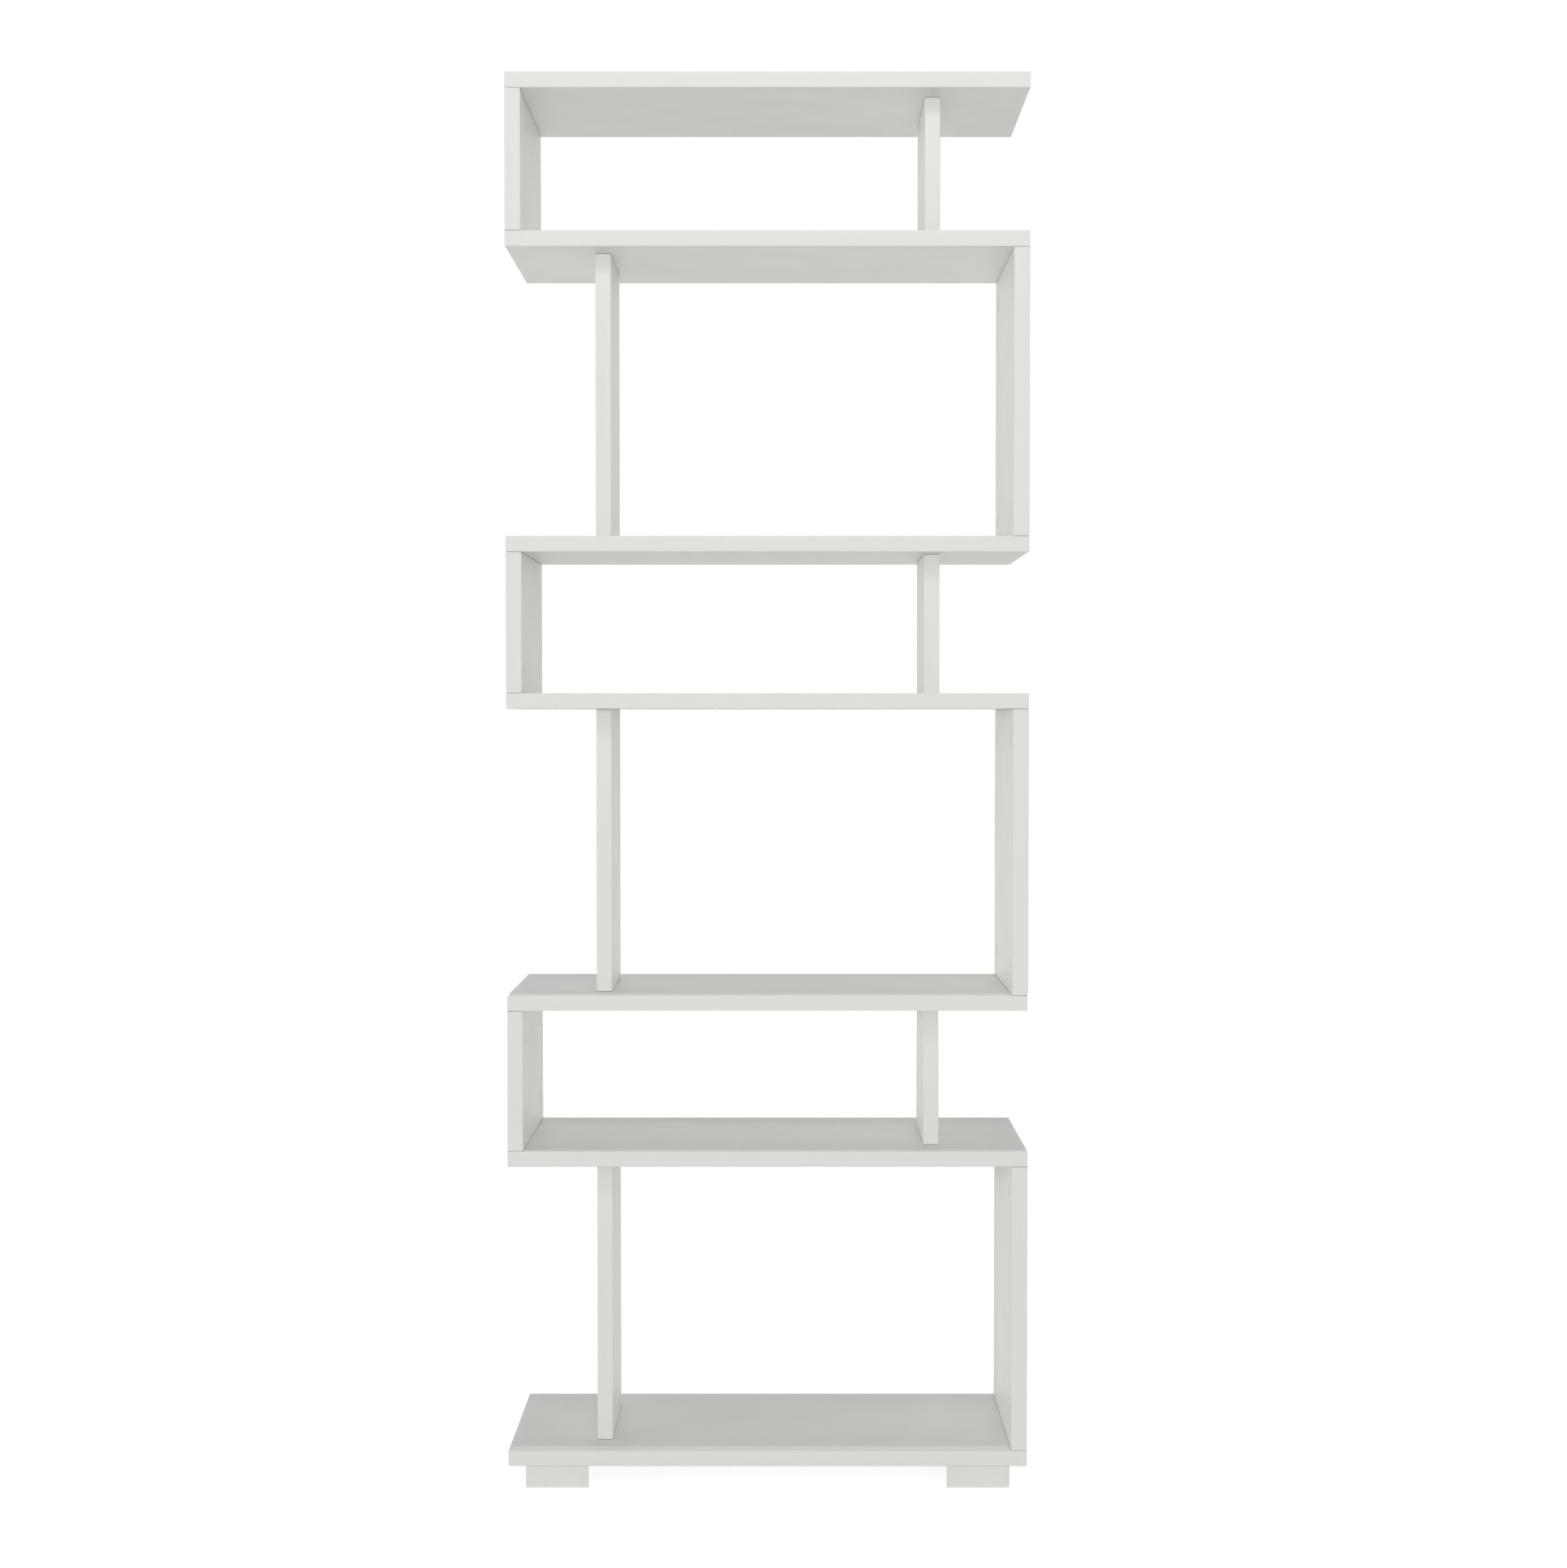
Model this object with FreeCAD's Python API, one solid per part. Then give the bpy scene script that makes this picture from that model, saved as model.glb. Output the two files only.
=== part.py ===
import FreeCAD, Part
import os

# A free-standing zigzag bookcase of melamine faced board, in millimetres.
# X runs left to right, Y from the front to the back and Z up from the floor.
# The origin is on the floor, under the middle of the bookcase.

# Overall sizes
width = 600.0           # length of every shelf
depth = 240.0           # front to back
board = 18.0            # thickness of every board
tall_bay = 330.0        # clear height of a tall bay
low_bay = 162.0         # clear height of a low bay
foot_height = 25.0      # from the floor to the underside of the base board

# Posts, the narrow uprights across from the side panels
post_inset = 100.0      # from the end of the shelf to the outward face of the post
post_depth = 150.0      # front to back, centred on the shelf

# Edge bands, glued on the sawn edges that can be seen
band = 1.0              # thickness of the strip
band_round = 0.8        # rounding along the outer edges of the strip
band_flat = 0.1         # least flat left between that rounding and the glue line
band_joint = 0.05       # hairline between two strips that meet at a corner

# Seams, the fine dark lines where an upright meets a shelf
seam_height = 0.4       # how far the faces of an upright stop short of its sawn end
seam_depth = 1.2        # how far that step reaches in from the faces

# Fits
drill_clearance = 0.2   # how much wider a hole is than what it holds
drill_spare = 0.6       # empty depth at the bottom of a blind hole
seat_gap = 0.3          # gap between a fitting and what it pulls against

# Wood dowels
dowel_dia = 8.0
dowel_length = 30.0
dowel_bite = 10.0       # length that sits in the shelf
dowel_bevel = 0.8

# Cams, turned in a pocket in the upright to draw a bolt in the shelf
cam_dia = 15.0
cam_reach = 34.0        # from the end of the upright to the middle of the cam
cam_floor = 3.5         # board left under the pocket
cam_wall = 2.5          # rim of the cam that catches the head of the bolt
cam_recess = 0.3        # how far the cam lies below the face
drive_span = 8.0        # cross slot for the screwdriver
drive_width = 2.4
drive_depth = 2.0

# Cover caps, pressed into the cross slot of the cams
cap_lap = 1.0           # how far the cap reaches past the cam on each side
cap_thick = 0.6
cap_round = 0.4

# Bolts that the cams draw
bolt_shank_dia = 7.0
bolt_shank_room = 1.0   # how much wider the hole in the end of the upright is
bolt_thread_dia = 6.0
bolt_thread_root = 4.6
bolt_thread_pitch = 2.2
bolt_bite = 11.0        # length of thread in the shelf
bolt_neck_dia = 4.0
bolt_head_dia = 6.0
bolt_head_length = 3.0
bolt_head_room = 0.4    # room round the neck and the head inside the cam

# Places of the fittings along the ends of the uprights
cam_edge = 37.0         # from the front or back edge of a side panel to its cam
dowel_pitch = 32.0      # from that cam to the dowel beside it
post_dowel_edge = 27.0  # from the edge of a post to its dowel

# Feet, moulded hollow and open at the top
foot_width = 73.0       # along the outer edge of the base board
foot_inner_width = 58.0  # along the side that faces the middle
foot_depth = 40.0
foot_inset = 20.0       # from the end of the base board
foot_wall = 2.5
foot_sole = 3.0
foot_corner = 0.8       # rounding of the upright corners
foot_edge = 0.8         # rounding round the sole
foot_rib = 2.0
boss_wall = 1.5         # round the counterbore of a screw
boss_spread = 36.0      # between the two screws of a foot
boss_seat = 6.0         # thickness under the head of the screw

# Screws of the feet
screw_dia = 4.0
screw_root = 2.8
screw_pitch = 1.8
screw_length = 16.0     # under the head
screw_tip = 3.0
screw_head_dia = 8.0
screw_head_height = 2.4
screw_head_room = 1.0   # how much wider the counterbore is than the head
screw_slot_span = 4.4
screw_slot_width = 1.0
screw_slot_depth = 1.4

# The bays from the floor up: clear height, and the end that a side panel closes
left, right = -1, 1
bays = [(tall_bay, right), (low_bay, left)] * 3

origin = FreeCAD.Vector(0, 0, 0)
x_axis = FreeCAD.Vector(1, 0, 0)
y_axis = FreeCAD.Vector(0, 1, 0)
z_axis = FreeCAD.Vector(0, 0, 1)
quarter_turn = 90.0
half_turn = 180.0
full_turn = 360.0
same_place = 0.001      # how near two heights are to count as one


def box(x0, x1, y0, y1, z0, z1):
    return Part.makeBox(x1 - x0, y1 - y0, z1 - z0, FreeCAD.Vector(x0, y0, z0))


def rod(dia, z0, z1, x=0.0, y=0.0):
    return Part.makeCylinder(dia / 2, z1 - z0, FreeCAD.Vector(x, y, z0), z_axis)


def moved(shape, x, y, z):
    copy = shape.copy()
    copy.translate(FreeCAD.Vector(x, y, z))
    return copy


def turned(points):
    # A solid of revolution about Z, from (radius, height) points.
    outline = Part.makePolygon([FreeCAD.Vector(r, 0, z) for r, z in points + points[:1]])
    return Part.Face(outline).revolve(origin, z_axis, full_turn)


def thread(dia, root, pitch, z0, z1):
    # Outline of a screw thread drawn as rings, from z0 up to z1.
    count = max(1, round((z1 - z0) / pitch))
    step = (z1 - z0) / count
    points = []
    for ring in range(count):
        low = z0 + ring * step
        points += [(root / 2, low), (dia / 2, low + step / 2)]
    return points + [(root / 2, z1)]


def cross(span, across, z0, z1):
    bar = box(-span / 2, span / 2, -across / 2, across / 2, z0, z1)
    return bar.fuse(box(-across / 2, across / 2, -span / 2, span / 2, z0, z1)).removeSplitter()


def edges_at(solid, z):
    # Edges that lie level, at one height.
    return [
        edge for edge in solid.Edges
        if all(abs(vertex.Z - z) < same_place for vertex in edge.Vertexes)
    ]


def upright_edges(solid):
    # Edges that run from the bottom of a plain block to its top.
    height = solid.BoundBox.ZLength
    return [edge for edge in solid.Edges if edge.BoundBox.ZLength > height / 2]


# Boards and uprights, each a core with its edge bands

rounding = min(band_round, band - band_flat)


def shelf_blank():
    slab = box(-width / 2, width / 2, -depth / 2, depth / 2, 0, board)
    return slab.makeFillet(rounding, slab.Edges)


def upright_blank(across, height):
    # The sawn ends touch the shelves, and the faces round them stop a little short.
    slab = box(-board / 2, board / 2, -across / 2, across / 2, seam_height, height - seam_height)
    slab = slab.makeFillet(rounding, upright_edges(slab))
    half_x = board / 2 - seam_depth
    half_y = across / 2 - seam_depth
    return slab.fuse(box(-half_x, half_x, -half_y, half_y, 0, height)).removeSplitter()


def core_of(blank, half_x, half_y):
    bounds = blank.BoundBox
    return blank.common(box(-half_x, half_x, -half_y, half_y, bounds.ZMin, bounds.ZMax))


def strip_of(blank, x0, x1, y0, y1):
    bounds = blank.BoundBox
    return blank.common(box(x0, x1, y0, y1, bounds.ZMin, bounds.ZMax)).Solids[0]


def long_strips(blank, half_x, half_y):
    front = strip_of(blank, -half_x, half_x, -half_y, -half_y + band)
    back = strip_of(blank, -half_x, half_x, half_y - band, half_y)
    return [front, back]


def end_strips(blank, half_x, half_y):
    reach = half_y - band - band_joint
    left_strip = strip_of(blank, -half_x, -half_x + band, -reach, reach)
    right_strip = strip_of(blank, half_x - band, half_x, -reach, reach)
    return [left_strip, right_strip]


# Fittings, drawn about one joint: the shelf lies below Z = 0, the upright stands
# above it with its middle at X = 0, and the cam pocket opens towards +X.

pocket_depth = board - cam_floor
pocket_bottom = board / 2 - pocket_depth
cam_face = board / 2 - cam_recess
head_start = cam_reach - cam_dia / 2 + cam_wall


def lying(shape):
    # Turns what was drawn along Z to lie along X, at the height of the cam.
    copy = shape.copy()
    copy.rotate(origin, y_axis, quarter_turn)
    copy.translate(FreeCAD.Vector(0, 0, cam_reach))
    return copy


def make_dowel():
    dowel = rod(dowel_dia, -dowel_bite, dowel_length - dowel_bite)
    ends = edges_at(dowel, -dowel_bite) + edges_at(dowel, dowel_length - dowel_bite)
    return dowel.makeChamfer(dowel_bevel, ends)


def make_bolt():
    neck_start = cam_reach - cam_dia / 2 - seat_gap
    head_low = head_start + seat_gap
    head_high = head_low + bolt_head_length
    points = [(0, -bolt_bite)]
    points += thread(bolt_thread_dia, bolt_thread_root, bolt_thread_pitch, -bolt_bite, 0)
    points += [(bolt_shank_dia / 2, 0), (bolt_shank_dia / 2, neck_start)]
    points += [(bolt_neck_dia / 2, neck_start), (bolt_neck_dia / 2, head_low)]
    points += [(bolt_head_dia / 2, head_low), (bolt_head_dia / 2, head_high), (0, head_high)]
    return turned(points)


def make_cam():
    body = lying(rod(cam_dia, pocket_bottom + seat_gap, cam_face))
    head_half = bolt_head_dia / 2 + bolt_head_room
    neck_half = bolt_neck_dia / 2 + bolt_head_room
    head_end = head_start + bolt_head_length + 2 * bolt_head_room
    head_room = box(pocket_bottom, head_half, -head_half, head_half, head_start, head_end)
    neck_room = box(pocket_bottom, neck_half, -neck_half, neck_half, cam_reach - cam_dia, head_start)
    drive = lying(cross(drive_span, drive_width, cam_face - drive_depth, cam_face))
    return body.cut([head_room, neck_room, drive])


def make_cap():
    disc = rod(cam_dia + 2 * cap_lap, board / 2, board / 2 + cap_thick)
    disc = disc.makeFillet(cap_round, edges_at(disc, board / 2 + cap_thick))
    plug_low = cam_face - drive_depth + seat_gap
    plug = cross(drive_span - drill_clearance, drive_width - drill_clearance, plug_low, board / 2)
    return lying(disc.fuse(plug).removeSplitter())


def shelf_hole(dia, bite):
    return rod(dia + drill_clearance, -bite - drill_spare, 0)


def dowel_hole_in_upright():
    return rod(dowel_dia + drill_clearance, 0, dowel_length - dowel_bite + drill_spare)


def cam_holes_in_upright():
    bolt_hole = rod(bolt_shank_dia + bolt_shank_room, 0, cam_reach)
    pocket = lying(rod(cam_dia + drill_clearance, pocket_bottom, board / 2))
    return bolt_hole.fuse(pocket)


dowel_shape = make_dowel()
bolt_shape = make_bolt()
cam_shape = make_cam()
cap_shape = make_cap()
dowel_hole_in_shelf = shelf_hole(dowel_dia, dowel_bite)
bolt_hole_in_shelf = shelf_hole(bolt_thread_dia, bolt_bite)
dowel_hole_in_end = dowel_hole_in_upright()
cam_holes_in_end = cam_holes_in_upright()


def placed(shape, x, y, z, up, face):
    # Sets a fitting on a shelf: up is 1 above the shelf and -1 below it, and
    # face is 1 where the cam pocket opens towards +X and -1 towards -X.
    copy = shape.copy()
    if up < 0:
        copy.rotate(origin, x_axis, half_turn)
    if face < 0:
        copy.rotate(origin, z_axis, half_turn)
    copy.translate(FreeCAD.Vector(x, y, z))
    return copy


# Feet and their screws, drawn with the outer face of the foot on Y = 0

def foot_plan(z):
    corners = [
        FreeCAD.Vector(-foot_width / 2, 0, z),
        FreeCAD.Vector(foot_width / 2, 0, z),
        FreeCAD.Vector(foot_inner_width / 2, foot_depth, z),
        FreeCAD.Vector(-foot_inner_width / 2, foot_depth, z),
    ]
    return Part.Face(Part.makePolygon(corners + corners[:1]))


def screw_places():
    return [(-boss_spread / 2, foot_depth / 2), (boss_spread / 2, foot_depth / 2)]


def make_foot():
    block = foot_plan(0).extrude(FreeCAD.Vector(0, 0, foot_height))
    block = block.makeFillet(foot_corner, upright_edges(block))
    block = block.makeFillet(foot_edge, edges_at(block, 0))
    hollow = foot_plan(foot_sole).makeOffset2D(-foot_wall, 2)
    hollow = hollow.extrude(FreeCAD.Vector(0, 0, foot_height - foot_sole))
    rib = box(-foot_width / 2, foot_width / 2, (foot_depth - foot_rib) / 2, (foot_depth + foot_rib) / 2,
              foot_sole, foot_height)
    counterbore = screw_head_dia + screw_head_room
    boss_dia = counterbore + 2 * boss_wall
    hollow = hollow.cut([rib] + [rod(boss_dia, foot_sole, foot_height, x, y) for x, y in screw_places()])
    foot = block.cut(hollow)
    for x, y in screw_places():
        foot = foot.cut(rod(screw_dia + drill_clearance, 0, foot_height, x, y))
        foot = foot.cut(rod(counterbore, 0, foot_height - boss_seat, x, y))
    return foot


def make_screw():
    # Z = 0 is the underside of the base board.
    seat = -boss_seat
    end = screw_length - boss_seat
    points = [(0, seat - screw_head_height), (screw_head_dia / 2, seat - screw_head_height)]
    points += [(screw_head_dia / 2, seat)]
    points += thread(screw_dia, screw_root, screw_pitch, seat, end - screw_tip)
    points += [(0, end)]
    low = seat - screw_head_height
    return turned(points).cut(cross(screw_slot_span, screw_slot_width, low, low + screw_slot_depth))


foot_shape = make_foot()
screw_shape = make_screw()
screw_hole = rod(screw_dia + drill_clearance, 0, screw_length - boss_seat + drill_spare)


def foot_places():
    # Name, place of the middle of the outer face, and the turn about Z.
    x = width / 2 - foot_inset - foot_width / 2
    return [
        ("foot_front_left", -x, -depth / 2, 0.0),
        ("foot_front_right", x, -depth / 2, 0.0),
        ("foot_back_left", -x, depth / 2, half_turn),
        ("foot_back_right", x, depth / 2, half_turn),
    ]


def at_foot(shape, x, y, z, turn):
    copy = shape.copy()
    copy.rotate(origin, z_axis, turn)
    copy.translate(FreeCAD.Vector(x, y, z))
    return copy


# The whole bookcase

board_names = ["base_board"] + ["shelf_%d" % n for n in range(1, len(bays))] + ["top_board"]
board_holes = {name: [] for name in board_names}
fittings = {"dowels": [], "cam_bolts": [], "cams": [], "cam_caps": [], "foot_screws": []}
nodes = {}


def underside(count):
    # Height of the board that has this many bays below it.
    return foot_height + sum(clear + board for clear, end in bays[:count])


def side_panel_fittings():
    cam_y = depth / 2 - cam_edge
    dowel_y = cam_y - dowel_pitch
    return [("cam", -cam_y), ("dowel", -dowel_y), ("dowel", dowel_y), ("cam", cam_y)]


def post_fittings():
    dowel_y = post_depth / 2 - post_dowel_edge
    return [("dowel", -dowel_y), ("cam", 0.0), ("dowel", dowel_y)]


def join(kind, shelf, spot):
    # Sets one fitting, drills the shelf for it and gives the hole for the upright.
    if kind == "dowel":
        fittings["dowels"].append(placed(dowel_shape, *spot))
        board_holes[shelf].append(placed(dowel_hole_in_shelf, *spot))
        return placed(dowel_hole_in_end, *spot)
    fittings["cam_bolts"].append(placed(bolt_shape, *spot))
    fittings["cams"].append(placed(cam_shape, *spot))
    fittings["cam_caps"].append(placed(cap_shape, *spot))
    board_holes[shelf].append(placed(bolt_hole_in_shelf, *spot))
    return placed(cam_holes_in_end, *spot)


def add_upright(name, bay, x, across, places):
    clear, end = bays[bay]
    low = underside(bay) + board
    ends = [(1, low, board_names[bay]), (-1, low + clear, board_names[bay + 1])]
    holes = []
    for up, z, shelf in ends:
        holes += [join(kind, shelf, (x, y, z, up, -end)) for kind, y in places]
    blank = upright_blank(across, clear)
    core = core_of(blank, board / 2, across / 2 - band)
    strips = long_strips(blank, board / 2, across / 2)
    nodes[name] = [moved(core, x, 0, low).cut(holes)]
    nodes[name + "_edging"] = [moved(strip, x, 0, low) for strip in strips]


def add_foot(name, x, y, turn):
    nodes[name] = [at_foot(foot_shape, x, y, 0, turn)]
    for screw_x, screw_y in screw_places():
        screw = moved(screw_shape, screw_x, screw_y, 0)
        hole = moved(screw_hole, screw_x, screw_y, 0)
        fittings["foot_screws"].append(at_foot(screw, x, y, foot_height, turn))
        board_holes["base_board"].append(at_foot(hole, x, y, foot_height, turn))


def add_board(name, z):
    blank = shelf_blank()
    core = core_of(blank, width / 2 - band, depth / 2 - band)
    strips = long_strips(blank, width / 2, depth / 2) + end_strips(blank, width / 2, depth / 2)
    nodes[name] = [moved(core, 0, 0, z).cut(board_holes[name])]
    nodes[name + "_edging"] = [moved(strip, 0, 0, z) for strip in strips]


for bay, (clear, end) in enumerate(bays):
    panel_x = end * (width - board) / 2
    post_x = -end * (width / 2 - post_inset - board / 2)
    add_upright("side_panel_%d" % (bay + 1), bay, panel_x, depth, side_panel_fittings())
    add_upright("post_%d" % (bay + 1), bay, post_x, post_depth, post_fittings())

for name, x, y, turn in foot_places():
    add_foot(name, x, y, turn)

for count, name in enumerate(board_names):
    add_board(name, underside(count))

nodes.update(fittings)

os.makedirs("parts", exist_ok=True)
for name, solids in nodes.items():
    shape = solids[0] if len(solids) == 1 else Part.makeCompound(solids)
    shape.exportStep("parts/" + name + ".step")
print("%d nodes, %d solids" % (len(nodes), sum(len(solids) for solids in nodes.values())))
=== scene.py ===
import math

import bpy
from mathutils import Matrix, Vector


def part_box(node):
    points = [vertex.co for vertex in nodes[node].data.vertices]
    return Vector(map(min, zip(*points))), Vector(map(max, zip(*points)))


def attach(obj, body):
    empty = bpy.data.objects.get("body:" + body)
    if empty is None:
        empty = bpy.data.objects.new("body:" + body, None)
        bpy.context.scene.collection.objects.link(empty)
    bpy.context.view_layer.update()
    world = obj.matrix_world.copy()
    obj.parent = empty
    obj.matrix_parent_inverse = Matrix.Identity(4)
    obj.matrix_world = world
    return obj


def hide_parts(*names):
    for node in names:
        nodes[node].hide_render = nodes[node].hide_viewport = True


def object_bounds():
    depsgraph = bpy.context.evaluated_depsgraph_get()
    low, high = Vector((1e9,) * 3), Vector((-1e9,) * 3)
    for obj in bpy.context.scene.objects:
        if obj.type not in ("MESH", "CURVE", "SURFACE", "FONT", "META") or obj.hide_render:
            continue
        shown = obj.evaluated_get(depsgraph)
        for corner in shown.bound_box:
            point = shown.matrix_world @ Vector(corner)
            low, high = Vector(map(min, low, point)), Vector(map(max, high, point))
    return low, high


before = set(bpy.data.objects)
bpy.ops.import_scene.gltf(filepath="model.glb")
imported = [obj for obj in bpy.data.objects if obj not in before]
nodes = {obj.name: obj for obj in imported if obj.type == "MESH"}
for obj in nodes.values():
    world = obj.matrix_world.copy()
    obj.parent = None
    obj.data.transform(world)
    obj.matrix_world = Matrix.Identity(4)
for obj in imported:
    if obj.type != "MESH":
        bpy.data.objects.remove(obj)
cadLow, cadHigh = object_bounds()
print("frame loaded:", len(nodes), "CAD nodes")

mmPerMetre = 1000
mm = 1 / mmPerMetre
near = 0.01 * mm             # places closer than this count as one
axisX, axisY, axisZ = range(3)

# Pieces that are alike: the first of each list is modelled, the rest are copies of it
shelfCount = 5
boards = ["base_board"] + ["shelf_%d" % (n + 1) for n in range(shelfCount)] + ["top_board"]
tallBays = (1, 3, 5)
lowBays = (2, 4, 6)
uprightFamilies = [
    [kind + "_%d" % bay for bay in bays]
    for kind in ("side_panel", "post") for bays in (tallBays, lowBays)
]
uprights = [name for family in uprightFamilies for name in family]
feet = ["foot_%s_%s" % (row, side) for row in ("front", "back") for side in ("left", "right")]


def hexColour(code):
    # sRGB hex to the linear colour that a socket takes, by the sRGB standard's own curve
    parts = [int(code[i:i + 2], 16) / 255 for i in (0, 2, 4)]
    linear = [c / 12.92 if c <= 0.04045 else ((c + 0.055) / 1.055) ** 2.4 for c in parts]
    return (*linear, 1.0)


def addNode(tree, kind, settings=None, links=None):
    # a number stands for a socket's place, a word for its name or for a property of the node
    node = tree.nodes.new(kind)
    for name, value in (settings or {}).items():
        if isinstance(name, int) or name in node.inputs:
            node.inputs[name].default_value = value
        else:
            setattr(node, name, value)
    for name, source in (links or {}).items():
        tree.links.new(source, node.inputs[name])
    return node


# Places of the Mix node's colour sockets, which share their names with its other sockets
lowColour = 6
highColour = 7
mixedColour = 2

reliefStrength = 0.5
asMapped = 1.0               # scale of a noise whose place a Mapping node has scaled already


def newMaterial(name, ior=None, metallic=0.0):
    # a material with its Principled shader and its coordinates, a metal with the default IOR
    material = bpy.data.materials.new(name)
    material.use_nodes = True
    tree = material.node_tree
    tree.nodes.clear()
    shader = addNode(tree, "ShaderNodeBsdfPrincipled", {"Metallic": metallic})
    if ior:
        shader.inputs["IOR"].default_value = ior
    addNode(tree, "ShaderNodeOutputMaterial", links={"Surface": shader.outputs["BSDF"]})
    coordinates = addNode(tree, "ShaderNodeTexCoord")
    return material, tree, shader, coordinates


def perMm(size):
    # texture scale for a pattern whose features are this many millimetres apart
    return mmPerMetre / size


def addSurface(tree, shader, pattern, look):
    # one pattern makes the gloss uneven and stands up as a fine relief
    rough = addNode(tree, "ShaderNodeMapRange",
                    {"To Min": look["roughLow"], "To Max": look["roughHigh"]}, {"Value": pattern})
    bump = addNode(tree, "ShaderNodeBump",
                   {"Strength": reliefStrength, "Distance": look["relief"]}, {"Height": pattern})
    tree.links.new(rough.outputs["Result"], shader.inputs["Roughness"])
    tree.links.new(bump.outputs["Normal"], shader.inputs["Normal"])


# Melamine faced particle board, pressed against a satin plate: a dry, slightly warm white with
# a fine pearl texture and a very faint cloudiness where the paper under the resin is denser.
# Its sawn edges are raw chips, which show only at the bottom of the joints. In the joints a painted
# shade, with some dust, darkens the white.
melamine = {
    "white": "f0f1ed",
    "cloud": "edeeea",
    "cloudMm": 60,
    "cloudDetail": 4.0,
    "cloudRough": 0.55,
    "cloudFull": 0.35,       # noise below this is all cloud
    "cloudNone": 0.65,       # noise above this is all white
    "pearlMm": 2.2,          # the real texture is about 0.8 mm, drawn coarser so that it shows
    "pearlDetail": 2.0,
    "relief": 0.02 * mm,
    "roughLow": 0.42,
    "roughHigh": 0.52,
    "ior": 1.50,
    "chipLight": "a39c90",
    "chipDark": "7d766b",
    "chipMm": 1.6,
    "sawnTilt": 0.5,         # a face turned further from the pressed side is a sawn one
    # joint: the colour of painted shade and dust where a point in a joint sees little open sky
    "joint": "4a4844",       # dust and shade in the joints between two boards
    "jointReach": 1.2 * mm,
    "jointRays": 6,
    "jointClosed": 0.48,     # share of open sky at a point deep in a joint
    "jointOpen": 0.64,       # share of it beside the joint
}


def makeMelamine(name, pressedAxis):
    # pressedAxis is the way that the white faces look: X for an upright, Z for a shelf
    look = melamine
    material, tree, shader, coordinates = newMaterial(name, look["ior"])
    place = coordinates.outputs["Object"]
    cloud = addNode(tree, "ShaderNodeTexNoise",
                    {"Scale": perMm(look["cloudMm"]), "Detail": look["cloudDetail"],
                     "Roughness": look["cloudRough"]}, {"Vector": place})
    spread = addNode(tree, "ShaderNodeMapRange",
                     {"From Min": look["cloudFull"], "From Max": look["cloudNone"]},
                     {"Value": cloud.outputs["Fac"]})
    face = addNode(tree, "ShaderNodeMix",
                   {"data_type": "RGBA", lowColour: hexColour(look["cloud"]),
                    highColour: hexColour(look["white"])}, {0: spread.outputs["Result"]})
    chips = addNode(tree, "ShaderNodeTexVoronoi", {"Scale": perMm(look["chipMm"])},
                    {"Vector": place})
    chipTone = addNode(tree, "ShaderNodeSeparateColor", links={"Color": chips.outputs["Color"]})
    raw = addNode(tree, "ShaderNodeMix",
                  {"data_type": "RGBA", lowColour: hexColour(look["chipDark"]),
                   highColour: hexColour(look["chipLight"])}, {0: chipTone.outputs["Red"]})
    facing = addNode(tree, "ShaderNodeSeparateXYZ", links={0: coordinates.outputs["Normal"]})
    tilt = addNode(tree, "ShaderNodeMath", {"operation": "ABSOLUTE"},
                   {0: facing.outputs[pressedAxis]})
    pressed = addNode(tree, "ShaderNodeMath", {"operation": "GREATER_THAN", 1: look["sawnTilt"]},
                      {0: tilt.outputs[0]})
    skin = addNode(tree, "ShaderNodeMix", {"data_type": "RGBA"},
                   {0: pressed.outputs[0], lowColour: raw.outputs[mixedColour],
                    highColour: face.outputs[mixedColour]})
    # painted shade with dust: the white turns to the joint colour where little open sky is near, as
    # in the joints and corners
    sky = addNode(tree, "ShaderNodeAmbientOcclusion",
                  {"samples": look["jointRays"], "Distance": look["jointReach"]})
    clear = addNode(tree, "ShaderNodeMapRange",
                    {"From Min": look["jointClosed"], "From Max": look["jointOpen"]},
                    {"Value": sky.outputs["AO"]})
    jointDustAndPaintedShade = addNode(tree, "ShaderNodeMix",
                   {"data_type": "RGBA", lowColour: hexColour(look["joint"])},
                   {0: clear.outputs["Result"], highColour: skin.outputs[mixedColour]})
    tree.links.new(jointDustAndPaintedShade.outputs[mixedColour], shader.inputs["Base Color"])
    pearl = addNode(tree, "ShaderNodeTexNoise",
                    {"Scale": perMm(look["pearlMm"]), "Detail": look["pearlDetail"]},
                    {"Vector": place})
    addSurface(tree, shader, pearl.outputs["Fac"], look)
    return material


# Edge band: a PVC strip, extruded, glued on and rounded by a cutter, so a touch smoother than
# the board, with faint lines along its length.
edgeBand = {
    "round": 0.8 * mm,
    "roundSteps": 4,
    "glueLine": 0.12 * mm,   # fine bevel along the inner edges, where the glue is a hairline
    "glueSteps": 1,
    "runLeast": 1.6 * mm,    # an edge that goes further along the strip than this runs along it
    "joint": 0.05 * mm,      # between two strips that meet at a corner
    "white": "f0f1ed",
    "line": "eeefeb",
    "lineMm": 1.2,
    "lineLengthMm": 160,
    "lineDetail": 3.0,
    "relief": 0.01 * mm,
    "roughLow": 0.38,
    "roughHigh": 0.46,
    "ior": 1.53,
}


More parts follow.
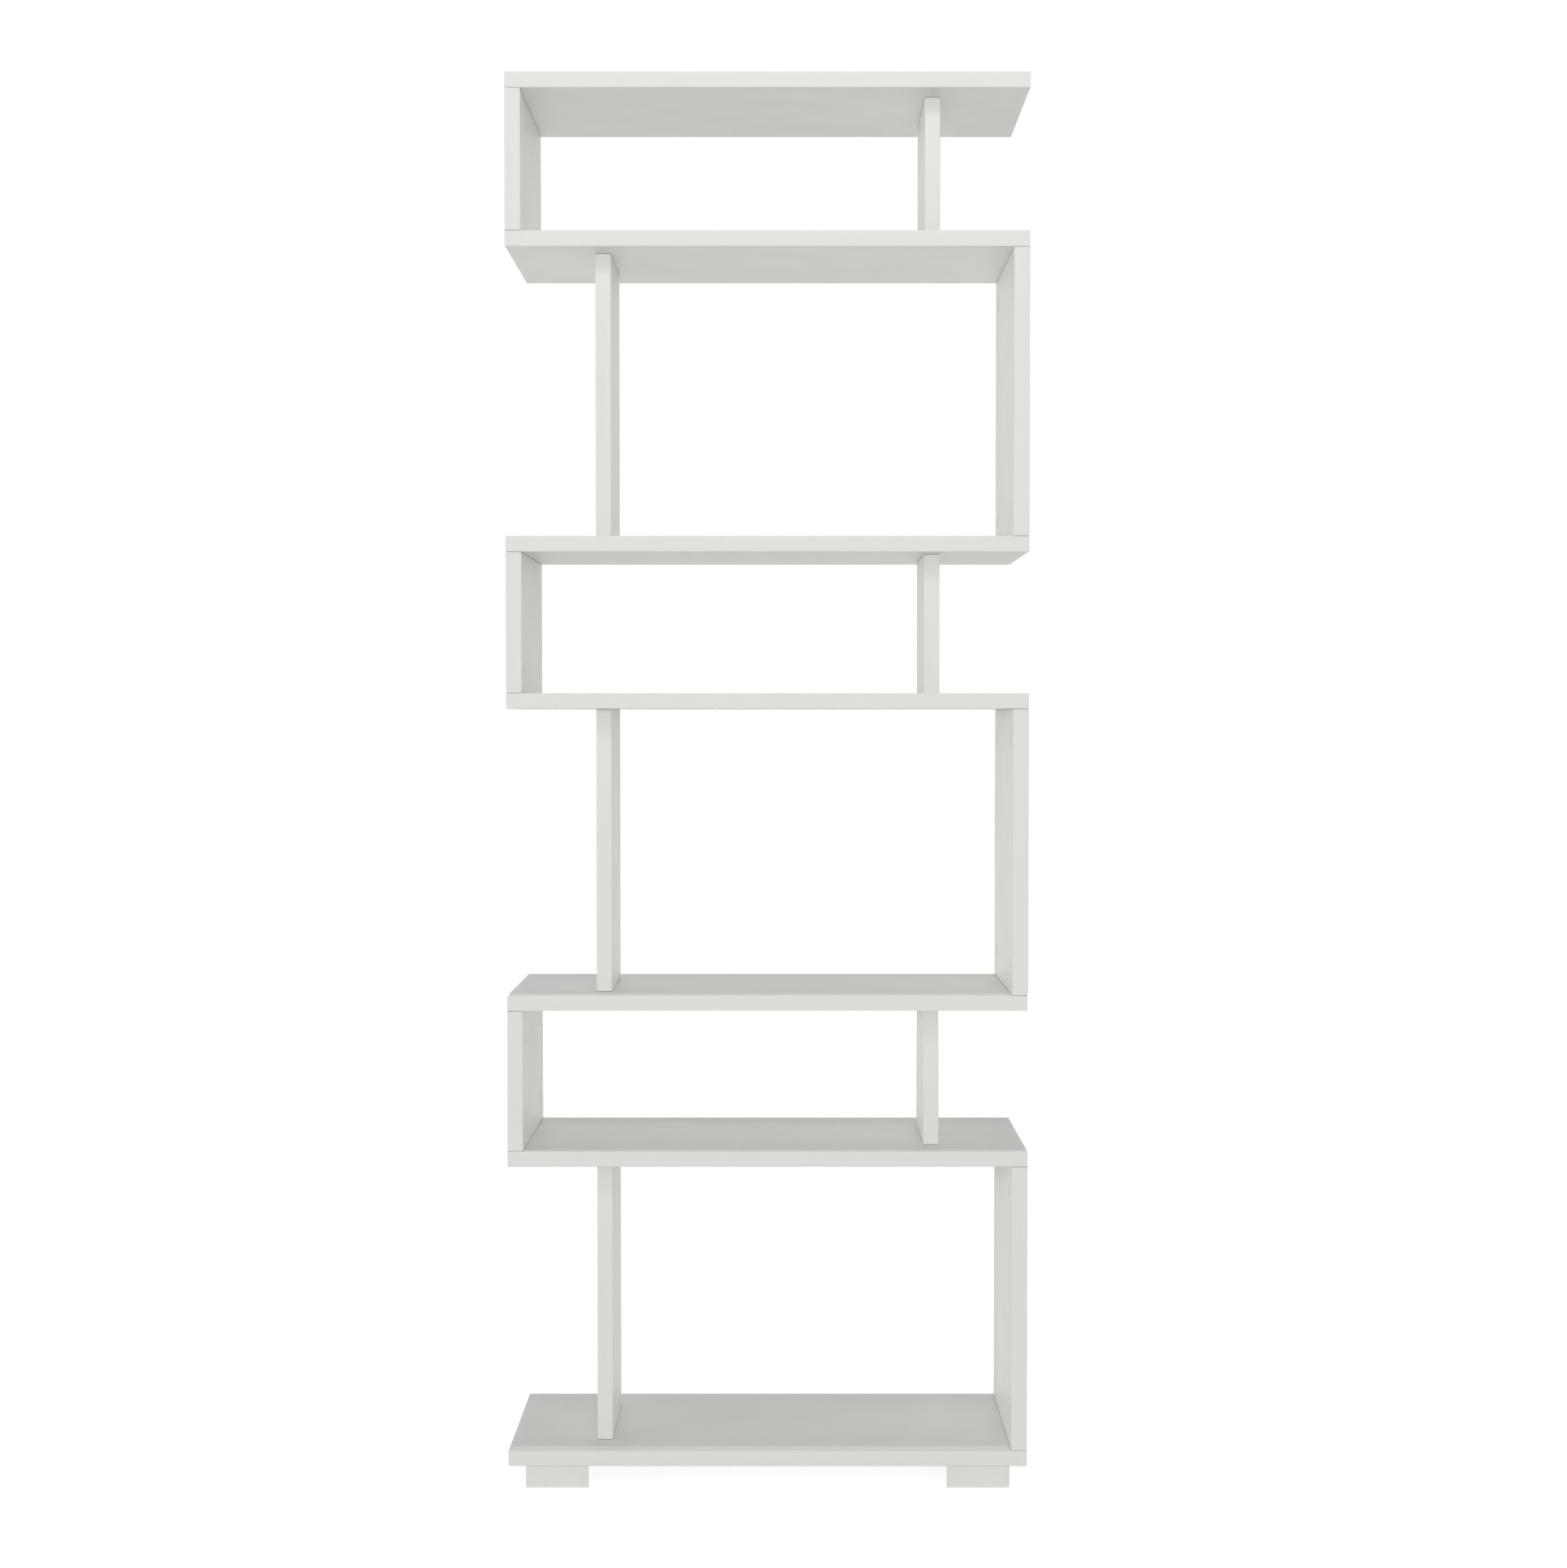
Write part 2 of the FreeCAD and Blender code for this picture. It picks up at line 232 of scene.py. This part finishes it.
def makeEdgeBand(runAxis):
    look = edgeBand
    material, tree, shader, coordinates = newMaterial("pvcEdgeBand" + "XYZ"[runAxis], look["ior"])
    scale = [perMm(look["lineMm"])] * 3
    scale[runAxis] = perMm(look["lineLengthMm"])
    stretch = addNode(tree, "ShaderNodeMapping", {"Scale": scale},
                      {"Vector": coordinates.outputs["Object"]})
    lines = addNode(tree, "ShaderNodeTexNoise",
                    {"Scale": asMapped, "Detail": look["lineDetail"]},
                    {"Vector": stretch.outputs["Vector"]})
    colour = addNode(tree, "ShaderNodeMix",
                     {"data_type": "RGBA", lowColour: hexColour(look["line"]),
                      highColour: hexColour(look["white"])}, {0: lines.outputs["Fac"]})
    tree.links.new(colour.outputs[mixedColour], shader.inputs["Base Color"])
    addSurface(tree, shader, lines.outputs["Fac"], look)
    return material


# Feet: polypropylene moulded in a spark-eroded tool, a slightly creamier white with a fine
# even grain and a soft, waxy gloss.
foot = {
    "white": "eff0e9",
    "shade": "ecede6",
    "shadeMm": 30,
    "shadeDetail": 2.0,
    "grainMm": 1.5,          # the real grain is about 0.3 mm, drawn coarser so that it shows
    "grainDetail": 3.0,
    "relief": 0.03 * mm,
    "roughLow": 0.48,
    "roughHigh": 0.60,
    "ior": 1.49,
}

# Cover caps: polypropylene, moulded with a satin face and dyed to the board's white, so that
# they hardly show from a few steps away.
coverCap = {
    "sides": 48,
    "rim": 0.35 * mm,
    "rimSteps": 4,
    "border": 1.6 * mm,      # flat ring round the shallow dish
    "dish": 0.12 * mm,
    "dishWall": 0.24 * mm,   # width of the slope that leads down into it
    "gate": 0.7 * mm,        # radius of the mark that the mould's inlet leaves
    "gateRise": 0.05 * mm,
    "flatFace": 0.99,        # a face whose normal has this much along X looks along it
    "white": "f0f1ed",
    "shade": "eeefeb",
    "shadeMm": 12,
    "shadeDetail": 2.0,
    "grainMm": 1.0,
    "grainDetail": 3.0,
    "relief": 0.005 * mm,
    "roughLow": 0.42,
    "roughHigh": 0.50,
    "ior": 1.49,
}


def makeMoulded(name, look):
    # plastic from a mould: a slow change of tone and a fine even grain
    material, tree, shader, coordinates = newMaterial(name, look["ior"])
    place = coordinates.outputs["Object"]
    tone = addNode(tree, "ShaderNodeTexNoise",
                   {"Scale": perMm(look["shadeMm"]), "Detail": look["shadeDetail"]},
                   {"Vector": place})
    colour = addNode(tree, "ShaderNodeMix",
                     {"data_type": "RGBA", lowColour: hexColour(look["shade"]),
                      highColour: hexColour(look["white"])}, {0: tone.outputs["Fac"]})
    tree.links.new(colour.outputs[mixedColour], shader.inputs["Base Color"])
    grain = addNode(tree, "ShaderNodeTexNoise",
                    {"Scale": perMm(look["grainMm"]), "Detail": look["grainDetail"]},
                    {"Vector": place})
    addSurface(tree, shader, grain.outputs["Fac"], look)
    return material


# Cams: zinc, die cast and tumbled, a dull grey with a grainy skin.
castZinc = {
    "light": "a9a9a8",
    "dark": "8c8d8f",
    "patchMm": 2.5,
    "patchDetail": 5.0,
    "relief": 0.04 * mm,
    "roughLow": 0.42,
    "roughHigh": 0.60,
}

# Bolts and screws: steel with a bright zinc plating, slightly blue, with a cloudy sheen.
platedSteel = {
    "light": "cdd0d3",
    "dark": "b3b8bd",
    "patchMm": 4.0,
    "patchDetail": 5.0,
    "relief": 0.005 * mm,
    "roughLow": 0.22,
    "roughHigh": 0.36,
}


def makeMetal(name, look):
    material, tree, shader, coordinates = newMaterial(name, metallic=1.0)
    patch = addNode(tree, "ShaderNodeTexNoise",
                    {"Scale": perMm(look["patchMm"]), "Detail": look["patchDetail"]},
                    {"Vector": coordinates.outputs["Object"]})
    colour = addNode(tree, "ShaderNodeMix",
                     {"data_type": "RGBA", lowColour: hexColour(look["dark"]),
                      highColour: hexColour(look["light"])}, {0: patch.outputs["Fac"]})
    tree.links.new(colour.outputs[mixedColour], shader.inputs["Base Color"])
    addSurface(tree, shader, patch.outputs["Fac"], look)
    return material


# Dowels: turned beech, pale and pinkish, with fine grain along the dowel and short dark flecks.
beech = {
    "light": "d9b98f",
    "dark": "bf9565",
    "fleck": "9c7146",
    "grainMm": 0.9,
    "grainLengthMm": 14,
    "grainDetail": 3.0,
    "fleckMm": 0.7,
    "fleckLengthMm": 3,
    "fleckShare": 0.68,      # noise above this is a fleck
    "relief": 0.03 * mm,
    "roughLow": 0.60,
    "roughHigh": 0.75,
    "ior": 1.50,
}


def makeBeech():
    # all dowels stand upright, so the grain runs along Z
    look = beech
    material, tree, shader, coordinates = newMaterial("turnedBeech", look["ior"])
    place = coordinates.outputs["Object"]
    grainScale = (perMm(look["grainMm"]), perMm(look["grainMm"]), perMm(look["grainLengthMm"]))
    fleckScale = (perMm(look["fleckMm"]), perMm(look["fleckMm"]), perMm(look["fleckLengthMm"]))
    along = addNode(tree, "ShaderNodeMapping", {"Scale": grainScale}, {"Vector": place})
    grain = addNode(tree, "ShaderNodeTexNoise",
                    {"Scale": asMapped, "Detail": look["grainDetail"]},
                    {"Vector": along.outputs["Vector"]})
    short = addNode(tree, "ShaderNodeMapping", {"Scale": fleckScale}, {"Vector": place})
    flecks = addNode(tree, "ShaderNodeTexNoise", {"Scale": asMapped},
                     {"Vector": short.outputs["Vector"]})
    isFleck = addNode(tree, "ShaderNodeMath", {"operation": "GREATER_THAN", 1: look["fleckShare"]},
                      {0: flecks.outputs["Fac"]})
    wood = addNode(tree, "ShaderNodeMix",
                   {"data_type": "RGBA", lowColour: hexColour(look["dark"]),
                    highColour: hexColour(look["light"])}, {0: grain.outputs["Fac"]})
    colour = addNode(tree, "ShaderNodeMix",
                     {"data_type": "RGBA", highColour: hexColour(look["fleck"])},
                     {0: isFleck.outputs[0], lowColour: wood.outputs[mixedColour]})
    tree.links.new(colour.outputs[mixedColour], shader.inputs["Base Color"])
    addSurface(tree, shader, grain.outputs["Fac"], look)
    return material


shelfMaterial = makeMelamine("melamineFacedShelf", "Z")
uprightMaterial = makeMelamine("melamineFacedUpright", "X")
bandMaterials = [makeEdgeBand(axis) for axis in (axisX, axisY, axisZ)]
capMaterial = makeMoulded("polypropyleneCap", coverCap)
footMaterial = makeMoulded("polypropyleneFoot", foot)
steelMaterial = makeMetal("zincPlatedSteel", platedSteel)
zincMaterial = makeMetal("dieCastZinc", castZinc)
beechMaterial = makeBeech()
print("materials made")

# CAD nodes whose shape stays, each in its own finish
finishes = dict.fromkeys(boards, shelfMaterial)
finishes.update(dict.fromkeys(uprights, uprightMaterial))
finishes.update(dict.fromkeys(feet, footMaterial))
finishes.update(dict.fromkeys(["cam_bolts", "foot_screws"], steelMaterial))
finishes["cams"] = zincMaterial
finishes["dowels"] = beechMaterial
for name, material in finishes.items():
    for slot in nodes[name].material_slots:
        slot.material = material
print("CAD nodes dressed:", len(finishes))


def selectOnly(pieces):
    bpy.ops.object.select_all(action="DESELECT")
    for piece in pieces:
        piece.select_set(True)
    bpy.context.view_layer.objects.active = pieces[0]


def copyPiece(piece):
    selectOnly([piece])
    bpy.ops.object.duplicate(linked=False)
    return bpy.context.object


def namePiece(piece, name):
    piece.name = name
    piece.data.name = name


def deselectMesh(kind):
    # nothing of the active mesh stays selected, so that its edges or faces can be picked in code
    bpy.ops.object.mode_set(mode="EDIT")
    bpy.ops.mesh.select_mode(type=kind)
    bpy.ops.mesh.select_all(action="DESELECT")
    bpy.ops.object.mode_set(mode="OBJECT")


def bevelEdges(piece, wanted, width, steps):
    # bevels only those edges whose two ends pass the test
    selectOnly([piece])
    deselectMesh("EDGE")
    points = piece.data.vertices
    for edge in piece.data.edges:
        edge.select = wanted(*[points[i].co for i in edge.vertices])
    bpy.ops.object.mode_set(mode="EDIT")
    bpy.ops.mesh.bevel(offset=width, segments=steps, affect="EDGES")
    bpy.ops.object.mode_set(mode="OBJECT")


smoothAngle = math.radians(40)  # edges sharper than this stay sharp


def joinPieces(pieces, name):
    selectOnly(pieces)
    bpy.ops.object.join()
    piece = bpy.context.object
    namePiece(piece, name)
    bpy.ops.object.shade_smooth_by_angle(angle=smoothAngle)
    even = piece.modifiers.new("evenNormals", "WEIGHTED_NORMAL")
    even.keep_sharp = True
    bpy.ops.object.modifier_apply(modifier=even.name)
    return piece


def makeStrip(low, high, outAxis, outSide, runAxis, roundEnds):
    # one strip between two corners: its face shows on the side outSide of outAxis
    bpy.ops.object.select_all(action="DESELECT")
    bpy.ops.mesh.primitive_cube_add(size=1, location=(low + high) / 2)
    strip = bpy.context.object
    strip.scale = high - low
    bpy.ops.object.transform_apply(location=True, rotation=True, scale=True)
    shown = high[outAxis] if outSide > 0 else low[outAxis]
    glued = low[outAxis] if outSide > 0 else high[outAxis]

    def onPlane(a, b, plane):
        return abs(a[outAxis] - plane) < near and abs(b[outAxis] - plane) < near

    def alongRun(a, b):
        return abs(a[runAxis] - b[runAxis]) > edgeBand["runLeast"]

    bevelEdges(strip, lambda a, b: onPlane(a, b, shown) and (roundEnds or alongRun(a, b)),
               edgeBand["round"], edgeBand["roundSteps"])
    bevelEdges(strip, lambda a, b: onPlane(a, b, glued) and alongRun(a, b),
               edgeBand["glueLine"], edgeBand["glueSteps"])
    strip.data.materials.append(bandMaterials[runAxis])
    return strip


def makeBands(name, runAxis, hasEnds):
    # the strips of one board or upright, between the box of its core and that of its edging
    coreLow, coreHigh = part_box(name)
    low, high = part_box(name + "_edging")
    frontHigh = Vector((high.x, coreLow.y, high.z))
    backLow = Vector((low.x, coreHigh.y, low.z))
    strips = [
        makeStrip(low, frontHigh, axisY, -1, runAxis, hasEnds),
        makeStrip(backLow, high, axisY, 1, runAxis, hasEnds),
    ]
    if hasEnds:
        nearY = coreLow.y + edgeBand["joint"]
        farY = coreHigh.y - edgeBand["joint"]
        leftLow = Vector((low.x, nearY, low.z))
        leftHigh = Vector((coreLow.x, farY, high.z))
        rightLow = Vector((coreHigh.x, nearY, low.z))
        rightHigh = Vector((high.x, farY, high.z))
        strips.append(makeStrip(leftLow, leftHigh, axisX, -1, axisY, False))
        strips.append(makeStrip(rightLow, rightHigh, axisX, 1, axisY, False))
    return joinPieces(strips, name + "_bands")


def makeBandFamily(family, runAxis, hasEnds):
    first = makeBands(family[0], runAxis, hasEnds)
    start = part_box(family[0])[0]
    pieces = [first]
    for name in family[1:]:
        piece = copyPiece(first)
        namePiece(piece, name + "_bands")
        piece.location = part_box(name)[0] - start
        bpy.ops.object.transform_apply(location=True, rotation=False, scale=False)
        pieces.append(piece)
    for name, piece in zip(family, pieces):
        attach(piece, "root")
        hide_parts(name + "_edging")


makeBandFamily(boards, axisX, True)
for family in uprightFamilies:
    makeBandFamily(family, axisZ, False)
print("edge bands modelled:", len(boards) + len(uprights))


def looseBoxes(name):
    # the boxes of the separate solids in a CAD node, from a merged copy that is then removed
    copyPiece(nodes[name])
    bpy.ops.object.mode_set(mode="EDIT")
    bpy.ops.mesh.select_all(action="SELECT")
    bpy.ops.mesh.remove_doubles(threshold=near)
    bpy.ops.mesh.separate(type="LOOSE")
    bpy.ops.object.mode_set(mode="OBJECT")
    boxes = []
    for solid in bpy.context.selected_objects:
        points = [vertex.co for vertex in solid.data.vertices]
        low = Vector([min(p[i] for p in points) for i in range(3)])
        high = Vector([max(p[i] for p in points) for i in range(3)])
        boxes.append((low, high))
    bpy.ops.object.delete()
    return boxes


def makeCap(radius, thick):
    # one cap that lies on the plane X = 0 and looks along +X
    bpy.ops.object.select_all(action="DESELECT")
    bpy.ops.mesh.primitive_cylinder_add(
        vertices=coverCap["sides"], radius=radius, depth=thick,
        location=(thick / 2, 0, 0), rotation=(0, math.radians(90), 0))
    cap = bpy.context.object
    bpy.ops.object.transform_apply(location=True, rotation=True, scale=True)
    bevelEdges(cap, lambda a, b: min(a.x, b.x) > thick / 2, coverCap["rim"], coverCap["rimSteps"])
    deselectMesh("FACE")
    for face in cap.data.polygons:
        onTop = abs(face.center.x - thick) < near
        face.select = onTop and face.normal.x > coverCap["flatFace"]
    bpy.ops.object.mode_set(mode="EDIT")
    bpy.ops.mesh.inset(thickness=coverCap["border"])
    bpy.ops.mesh.inset(thickness=coverCap["dishWall"])
    bpy.ops.transform.translate(value=(-coverCap["dish"], 0, 0))
    dishRadius = radius - coverCap["rim"] - coverCap["border"] - coverCap["dishWall"]
    bpy.ops.mesh.inset(thickness=dishRadius - coverCap["gate"])
    rise = (coverCap["gateRise"], 0, 0)
    bpy.ops.mesh.extrude_region_move(TRANSFORM_OT_translate={"value": rise})
    bpy.ops.object.mode_set(mode="OBJECT")
    cap.data.materials.append(capMaterial)
    return cap


def placeCaps():
    # each CAD cap lies on a face of an upright, which gives its base and the way that it looks
    caps = []
    model = None
    for low, high in looseBoxes("cam_caps"):
        centre = (low + high) / 2
        for name in uprights:
            faceLow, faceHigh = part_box(name)
            inBay = faceLow.z < centre.z < faceHigh.z
            if inBay and low.x < faceHigh.x < high.x:
                base, thick, turn = faceHigh.x, high.x - faceHigh.x, 0
            elif inBay and low.x < faceLow.x < high.x:
                base, thick, turn = faceLow.x, faceLow.x - low.x, math.pi
            else:
                continue
            if model is None:
                model = makeCap((high.z - low.z) / 2, thick)
            cap = copyPiece(model)
            cap.location = (base, centre.y, centre.z)
            cap.rotation_euler = (0, 0, turn)
            bpy.ops.object.transform_apply(location=True, rotation=True, scale=True)
            caps.append(cap)
    selectOnly([model])
    bpy.ops.object.delete()
    return caps


caps = placeCaps()
capCount = len(caps)
capPiece = joinPieces(caps, "cover_caps")
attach(capPiece, "root")
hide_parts("cam_caps")
print("cover caps placed:", capCount)


def seenDirectly(tree):
    # 1 for what the camera sees, also in a mirror or through glass, and 0 for all other light
    path = addNode(tree, "ShaderNodeLightPath")
    mirror = addNode(tree, "ShaderNodeMath", {"operation": "MAXIMUM"},
                     {0: path.outputs["Is Camera Ray"], 1: path.outputs["Is Glossy Ray"]})
    glass = addNode(tree, "ShaderNodeMath", {"operation": "MAXIMUM"},
                    {0: mirror.outputs[0], 1: path.outputs["Is Transmission Ray"]})
    return glass.outputs[0]


# Studio floor. The camera and mirror-like surfaces see it as white paper with a faint shadow,
# and all other light sees a plain pale floor.
studioFloor = {
    "size": 40.0,
    "pale": "ebebe8",
    "paper": "c2c2c2",       # takes light and shadow
    "paperGlow": 0.82,       # added to that, so that the paper is white where it is fully lit
}


def makeFloor():
    bpy.ops.object.select_all(action="DESELECT")
    bpy.ops.mesh.primitive_plane_add(size=studioFloor["size"], location=(0, 0, cadLow.z))
    floor = bpy.context.object
    floor.name = "studioFloor"
    material = bpy.data.materials.new("studioPaper")
    material.use_nodes = True
    tree = material.node_tree
    tree.nodes.clear()
    seen = seenDirectly(tree)
    pale = addNode(tree, "ShaderNodeBsdfDiffuse", {"Color": hexColour(studioFloor["pale"])})
    glow = addNode(tree, "ShaderNodeEmission", {"Strength": studioFloor["paperGlow"]})
    shade = addNode(tree, "ShaderNodeBsdfDiffuse", {"Color": hexColour(studioFloor["paper"])})
    paper = addNode(tree, "ShaderNodeAddShader", links={0: glow.outputs[0], 1: shade.outputs[0]})
    mix = addNode(tree, "ShaderNodeMixShader",
                  links={0: seen, 1: pale.outputs[0], 2: paper.outputs[0]})
    addNode(tree, "ShaderNodeOutputMaterial", links={"Surface": mix.outputs[0]})
    floor.data.materials.append(material)


# Soft light from all round, and white for the camera and mirror-like surfaces.
studioWorld = {
    "colour": "ffffff",
    "white": 1.0,
    "level": 0.962,
    "behind": 0.096,         # added towards the back, where the lit paper would be
    "overhead": -0.953,      # added overhead, where a studio is darker
}


def makeWorld():
    world = bpy.data.worlds.new("studioWorld")
    bpy.context.scene.world = world
    world.use_nodes = True
    tree = world.node_tree
    tree.nodes.clear()
    seen = seenDirectly(tree)
    colour = hexColour(studioWorld["colour"])
    change = (0, studioWorld["behind"], studioWorld["overhead"])
    way = addNode(tree, "ShaderNodeTexCoord").outputs["Generated"]
    slope = addNode(tree, "ShaderNodeVectorMath", {"operation": "DOT_PRODUCT", 1: change}, {0: way})
    level = addNode(tree, "ShaderNodeMath", {"operation": "ADD", 1: studioWorld["level"]},
                    {0: slope.outputs["Value"]})
    soft = addNode(tree, "ShaderNodeBackground", {"Color": colour}, {"Strength": level.outputs[0]})
    white = addNode(tree, "ShaderNodeBackground",
                    {"Color": colour, "Strength": studioWorld["white"]})
    mix = addNode(tree, "ShaderNodeMixShader",
                  links={0: seen, 1: soft.outputs[0], 2: white.outputs[0]})
    addNode(tree, "ShaderNodeOutputWorld", links={"Surface": mix.outputs[0]})


# Soft boxes: two far ones at about the camera's height, one in front above it, a narrow strip
# overhead, and a low one behind the shelf that lights the undersides. Those that aren't mirrored
# would glare on the undersides.
softBoxes = {
    "keyLeft": {"place": (-5.44, -2.54, 1.05), "aim": (0.0, 0.0, 1.0),
                "width": 2.0, "height": 0.4, "power": 51.0, "mirrored": False},
    "fillFront": {"place": (0.84, -5.94, 1.05), "aim": (0.0, 0.0, 1.0),
                  "width": 2.0, "height": 0.4, "power": 61.0, "mirrored": False},
    "frontTop": {"place": (0.2, -2.6, 2.6), "aim": (0.0, 0.0, 1.5),
                 "width": 2.0, "height": 0.6, "power": 10.9, "mirrored": True},
    "topStrip": {"place": (0.0, -0.43, 6.0), "aim": (0.0, -0.43, 0.0),
                 "width": 1.2, "height": 0.05, "power": 44.0, "mirrored": True},
    "backLow": {"place": (0.0, 5.0, 0.3), "aim": (0.0, 0.0, 1.2),
                "width": 2.0, "height": 0.6, "power": 67.6, "mirrored": False},
}


def makeLights():
    for name, box in softBoxes.items():
        light = bpy.data.lights.new(name, "AREA")
        light.shape = "RECTANGLE"
        light.size = box["width"]
        light.size_y = box["height"]
        light.energy = box["power"]
        lamp = bpy.data.objects.new(name, light)
        lamp.location = box["place"]
        aim = Vector(box["aim"]) - Vector(box["place"])
        lamp.rotation_euler = aim.to_track_quat("-Z", "Y").to_euler()
        lamp.visible_glossy = box["mirrored"]
        lamp.visible_camera = False
        bpy.context.scene.collection.objects.link(lamp)


# The photograph's viewpoint: straight on, a little right of the middle and above half height.
viewpoint = {
    "place": (0.0184, -2.9232, 0.8910),
    "level": 90.0,           # a camera turned this many degrees from straight down looks level
    "tiltDown": 1.558,
    "lens": 56.07,
    "sensor": 36.0,
}


def makeCamera():
    data = bpy.data.cameras.new("photoCamera")
    data.sensor_width = viewpoint["sensor"]
    data.lens = viewpoint["lens"]
    camera = bpy.data.objects.new("photoCamera", data)
    camera.location = viewpoint["place"]
    camera.rotation_euler = (math.radians(viewpoint["level"] - viewpoint["tiltDown"]), 0, 0)
    bpy.context.scene.collection.objects.link(camera)
    bpy.context.scene.camera = camera


makeFloor()
makeWorld()
makeLights()
makeCamera()
bpy.context.scene.view_settings.view_transform = "Standard"
print("studio ready")
